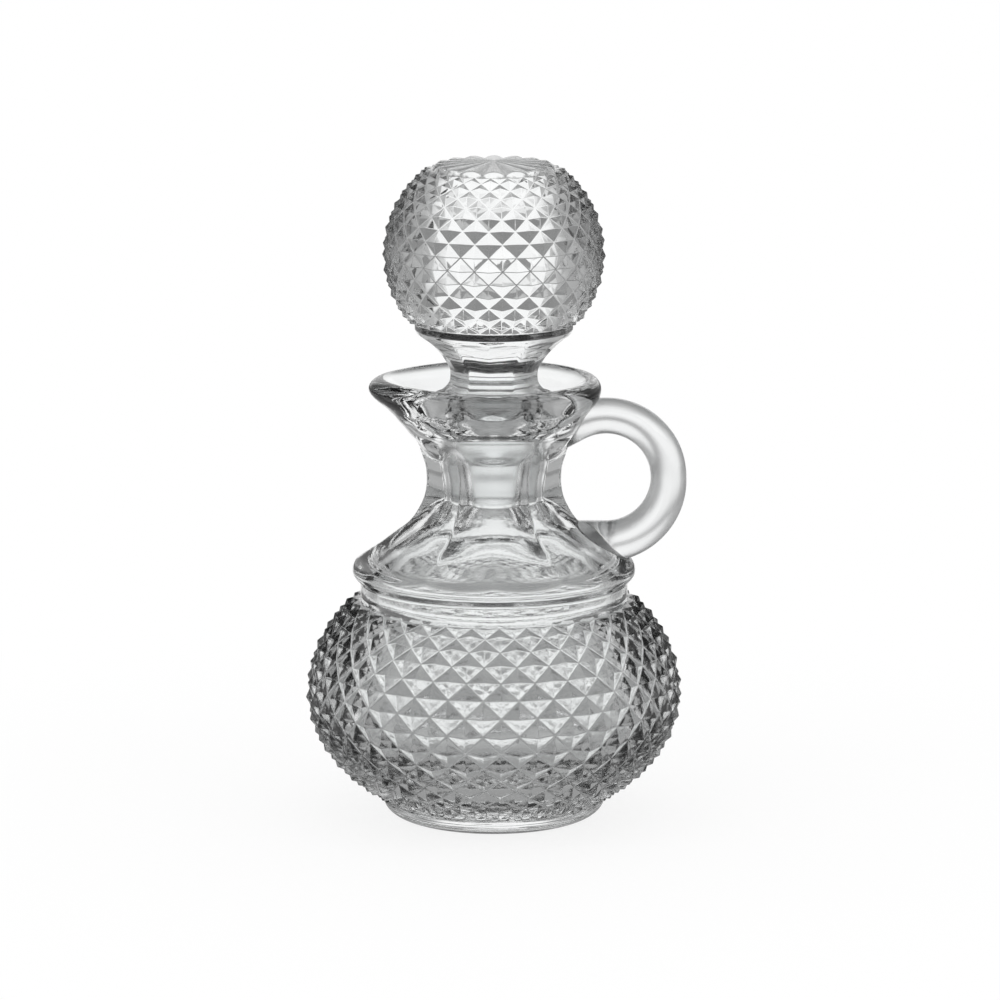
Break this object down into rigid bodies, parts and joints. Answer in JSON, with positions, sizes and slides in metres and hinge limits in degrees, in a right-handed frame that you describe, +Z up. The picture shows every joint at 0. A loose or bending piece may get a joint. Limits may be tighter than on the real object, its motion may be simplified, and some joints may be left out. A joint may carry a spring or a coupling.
{
  "type": "cruet",
  "caption": "Pressed glass oil or vinegar cruet with a diamond-point bulb, faceted neck, poured spout, loop handle and a solid ball stopper ground into the neck.",
  "frame": {"origin": "centre of the foot's contact ring, on the surface that the cruet stands on", "axes": "+Z up along the bottle's axis, -X towards the spout, +X towards the handle"},
  "size_m": [0.0946, 0.0938, 0.1644],
  "materials": {
    "clear_glass": "polished"
  },
  "bodies": {
    "bottle": {"bottle": "clear_glass", "handle": "clear_glass"},
    "stopper": {"stopper": "clear_glass"}
  },
  "joints": [
    {"name": "stopper_lift", "type": "slide", "parent": "bottle", "child": "stopper", "axis": [0, 0, 1], "range_m": [0, 0.04]}
  ]
}
